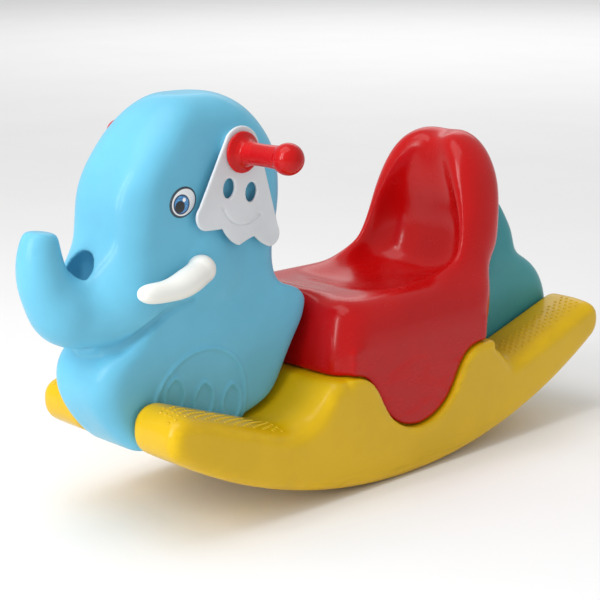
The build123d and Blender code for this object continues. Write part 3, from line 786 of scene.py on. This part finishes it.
def scattered(name, points, ups, copy_mesh, material, largest_turn, seed):
    """Copies of a mesh on points, as one plain object."""
    cloud = bpy.data.meshes.new(name + "_points")
    cloud.from_pydata(points, [], [])
    cloud.attributes.new("up", "FLOAT_VECTOR", "POINT").data.foreach_set("vector", np.ravel(ups))
    holder = bpy.data.objects.new(name + "_points", cloud)
    source = bpy.data.objects.new(name + "_copy", copy_mesh)
    for thing in (holder, source):
        bpy.context.scene.collection.objects.link(thing)
    modifier = holder.modifiers.new("scatter", "NODES")
    modifier.node_group = scatter
    keys = {item.name: item.identifier for item in scatter.interface.items_tree if item.in_out == "INPUT"}
    values = {"Copy": source, "Material": material, "Largest Turn": largest_turn, "Seed": seed}
    for title, value in values.items():
        modifier[keys[title]] = value
    bpy.context.view_layer.update()
    ready = holder.evaluated_get(bpy.context.evaluated_depsgraph_get())
    mesh = bpy.data.meshes.new_from_object(ready)
    mesh.name = name
    holder.modifiers.remove(modifier)
    for thing in (holder, source):
        bpy.data.objects.remove(thing)
    return finished_object(mesh, name)


def turned_mesh(name, rings, segments):
    """A mesh of rings about Z: each ring is (height, radius of each segment as a function)."""
    corners, faces = [], []
    for height, radius in rings:
        for step in range(segments):
            turn = 2 * math.pi * step / segments
            reach = radius(turn) * MM
            corners.append((reach * math.cos(turn), reach * math.sin(turn), height * MM))
    for ring in range(len(rings) - 1):
        for step in range(segments):
            after = (step + 1) % segments
            low, high = ring * segments, (ring + 1) * segments
            faces.append((low + step, low + after, high + after, high + step))
    faces.append(tuple(reversed(range(segments))))
    faces.append(tuple((len(rings) - 1) * segments + step for step in range(segments)))
    mesh = bpy.data.meshes.new(name)
    mesh.from_pydata(corners, [], faces)
    return mesh


print("scatter inputs:", [item.name for item in scatter.interface.items_tree if item.in_out == "INPUT"])

# %% [markdown]
# The screws stand head down under the deck. Their places and lengths are read from the CAD nodes
# that they replace: each node holds four, one in each quarter of its box.

# %% Screws with a cross recess
HEAD_RADIUS, HEAD_HEIGHT, SHANK_RADIUS = 5.0, 3.2, 2.5


def screw_mesh(name, length):
    def plain(radius):
        return lambda turn: radius

    def cross(scale):
        return lambda turn: scale * (1.0 + 1.7 * abs(math.cos(2 * turn)) ** 8)

    rings = [(-length, plain(1.2)), (-length + 2, plain(SHANK_RADIUS)), (-HEAD_HEIGHT, plain(SHANK_RADIUS))]
    rings += [(-HEAD_HEIGHT, plain(HEAD_RADIUS)), (-1.4, plain(HEAD_RADIUS))]
    rings += [(-0.5, plain(HEAD_RADIUS - 0.6)), (0, plain(HEAD_RADIUS - 1.8))]
    rings += [(0, cross(1.1)), (-1.6, cross(0.8))]
    return turned_mesh(name, rings, 32)


def screw_places(node):
    points = node_points(node)
    middle = (points[:, 1].min() + points[:, 1].max()) / 2
    places = []
    for sign in (-1, 1):
        for rear in (False, True):
            quarter = points[(points[:, 0] * sign > 0) & ((points[:, 1] > middle) == rear)]
            centre = (quarter.min(axis=0) + quarter.max(axis=0)) / 2
            places.append((float(centre[0]), float(centre[1]), float(quarter[:, 2].min())))
    return places, float(points[:, 2].max() - points[:, 2].min()) / MM


for seed, node in enumerate(("seat_screws", "front_body_screws", "rear_body_screws"), start=1):
    places, length = screw_places(node)
    ups = np.tile((0.0, 0.0, -1.0), (len(places), 1))
    copy_mesh = screw_mesh(node + "_copy", length)
    screws = scattered(node + "_finished", places, ups, copy_mesh, zinc, math.pi / 2, seed)
    dress(screws, chassis, "screw_steel", zinc, node)

# %% [markdown]
# Tread bumps cover the foot rests. A ray dropped on the finished base finds the height and slope of
# each bump's place, on a grid whose alternate rows are staggered.

# %% Tread bumps
TREAD_PITCH = 8.5
TREAD_X = (82, 112)
TREAD_Y = ((-395, -205), (225, 375))
BUMP_RADIUS, BUMP_HEIGHT = 2.3, 1.1


def tread_points():
    surface = BVHTree.FromObject(base_piece, bpy.context.evaluated_depsgraph_get())
    points, ups = [], []
    for low_y, high_y in TREAD_Y:
        for row, y in enumerate(np.arange(low_y, high_y, TREAD_PITCH * 0.87)):
            for x in np.arange(TREAD_X[0] + (row % 2) * TREAD_PITCH / 2, TREAD_X[1], TREAD_PITCH):
                for sign in (-1, 1):
                    start = Vector((sign * x * MM, y * MM + rest_y, 0.4))
                    spot, normal, _, _ = surface.ray_cast(start, Vector((0, 0, -1)))
                    if spot is not None and normal.z > 0.75:
                        points.append(tuple(spot))
                        ups.append(tuple(normal))
    return points, ups


def bump_mesh():
    rings = [(-0.6, lambda turn: BUMP_RADIUS), (0, lambda turn: BUMP_RADIUS)]
    rings += [(BUMP_HEIGHT * 0.7, lambda turn: BUMP_RADIUS * 0.75)]
    rings += [(BUMP_HEIGHT, lambda turn: BUMP_RADIUS * 0.3)]
    return turned_mesh("bump", rings, 10)


points, ups = tread_points()
tread = scattered("tread_bumps", points, ups, bump_mesh(), yellow, math.pi, 11)
dress(tread, chassis, "yellow_plastic", yellow)

# %% [markdown]
# ## Floor, light and camera
# A plain pale floor, two tall strips of light that draw double streaks on the glossy edges, and a
# large soft light overhead. The lights lean to the front, so the flanks fall a little darker.

# %% Floor, light and camera
def matt_floor():
    finish = Finish("floor")
    speckle = finish.noise(0.4, detail=2.0)
    tone = finish.mix(speckle, (0.86, 0.86, 0.86, 1), (0.9, 0.9, 0.9, 1))
    finish.set(Base_Color=tone, Roughness=0.9)
    finish.shader.inputs["Specular IOR Level"].default_value = 0.0
    return finish.material


def floor_sheet(half):
    mesh = bpy.data.meshes.new("floor")
    corners = [(-half, -half, 0), (half, -half, 0), (half, half, 0), (-half, half, 0)]
    mesh.from_pydata(corners, [], [(0, 1, 2, 3)])
    sheet = bpy.data.objects.new("floor", mesh)
    sheet.data.materials.append(matt_floor())
    bpy.context.scene.collection.objects.link(sheet)
    return sheet


CAMERA_TURN = math.radians(46)
CAMERA_PITCH = math.radians(13.7)
CAMERA_PLACE = Vector((1.41205, -1.43613 + rest_y, 0.70158))


def add_camera():
    data = bpy.data.cameras.new("camera")
    data.sensor_width = 36
    data.lens = 94.8
    camera = bpy.data.objects.new("camera", data)
    level = math.cos(CAMERA_PITCH)
    view = Vector((-math.sin(CAMERA_TURN) * level, math.cos(CAMERA_TURN) * level, -math.sin(CAMERA_PITCH)))
    camera.location = CAMERA_PLACE
    camera.rotation_euler = view.to_track_quat("-Z", "Y").to_euler()
    bpy.context.scene.collection.objects.link(camera)
    bpy.context.scene.camera = camera


def add_light(name, place, target, size, power):
    data = bpy.data.lights.new(name, "AREA")
    data.shape = "RECTANGLE"
    data.size, data.size_y = size
    data.energy = power
    lamp = bpy.data.objects.new(name, data)
    lamp.location = place
    lamp.rotation_euler = (Vector(target) - Vector(place)).to_track_quat("-Z", "Y").to_euler()
    bpy.context.scene.collection.objects.link(lamp)


def add_world(strength):
    world = bpy.data.worlds.new("room")
    world.use_nodes = True
    world.node_tree.nodes["Background"].inputs["Color"].default_value = (1, 1, 1, 1)
    world.node_tree.nodes["Background"].inputs["Strength"].default_value = strength
    bpy.context.scene.world = world


floor = floor_sheet(30.0)
add_camera()
LIGHTS = (
    ("front_strip_a", (-0.35, -2.6, 1.5), (0, -0.1, 0.25), (0.22, 2.0), 24),
    ("front_strip_b", (0.25, -2.7, 1.5), (0, -0.1, 0.25), (0.22, 2.0), 24),
    ("overhead", (-0.2, -0.9, 2.6), (0, 0, 0.2), (2.0, 2.0), 26),
    ("backdrop", (-4.5, 5.5, 4.0), (-4.5, 6.0, 0.0), (6.0, 6.0), 130),
)
for light in LIGHTS:
    add_light(*light)
add_world(0.62)
bpy.context.scene.view_settings.view_transform = "Standard"
print("camera at", [round(value, 3) for value in CAMERA_PLACE])
